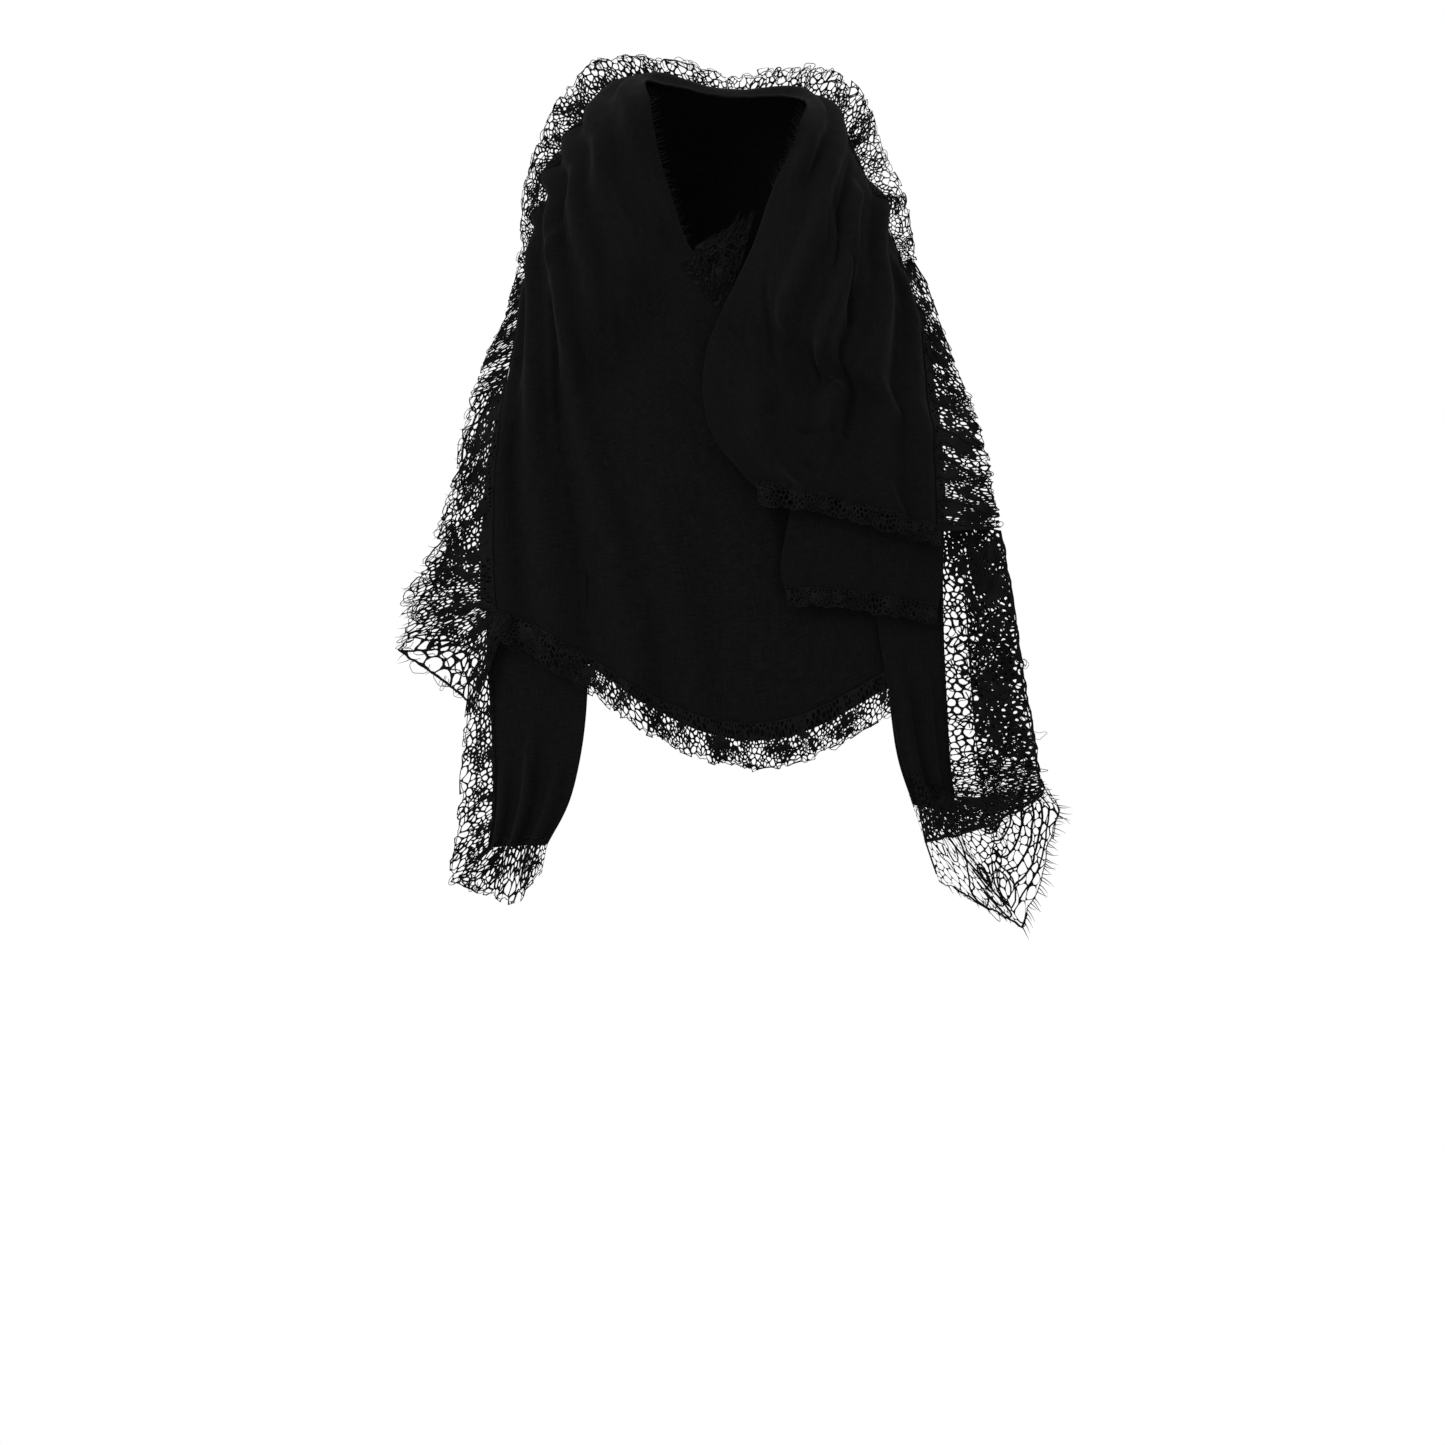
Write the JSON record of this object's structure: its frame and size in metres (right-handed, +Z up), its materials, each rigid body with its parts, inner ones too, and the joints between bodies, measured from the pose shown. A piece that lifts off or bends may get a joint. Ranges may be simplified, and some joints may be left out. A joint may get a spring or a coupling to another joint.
{
  "type": "lace shawl worn round an open neck",
  "caption": "Black gauze shawl folded round an open neck, both ends hanging crossed in front, with a scalloped lace border and an eyelash fringe",
  "frame": {"origin": "The nape: the middle of the neck's back at the height where the neck meets the shoulders, where the wearer holds the shawl up", "axes": "X to the viewer's right seen from the front, Y backwards so that the front faces -Y, Z up"},
  "size_m": [0.4549, 0.2999, 0.5846],
  "materials": {
    "gauze": "matte black open gauze",
    "lace": "matte black corded lace",
    "fringe": "matte black thread"
  },
  "bodies": {
    "root": {"wrap_back": "gauze", "left_shoulder": "gauze", "right_shoulder": "gauze", "left_drape": "gauze", "right_drape": "gauze", "right_fold": "gauze", "right_side": "gauze", "left_tail": "gauze", "right_tail": "gauze", "back_fall": "gauze", "collar_lace_left": "lace", "collar_lace_right": "lace", "left_shoulder_lace": "lace", "left_lace": "lace", "hem_lace": "lace", "right_shoulder_lace": "lace", "right_lace": "lace", "right_hem_lace": "lace", "right_fold_lace": "lace", "left_tail_lace": "lace", "right_tail_lace": "lace", "back_hem_lace": "lace", "throat_lace": "lace", "left_lashes": "fringe", "right_tail_lashes": "fringe", "throat_lashes": "fringe", "left_neck_lashes": "fringe", "right_neck_lashes": "fringe"}
  },
  "joints": []
}
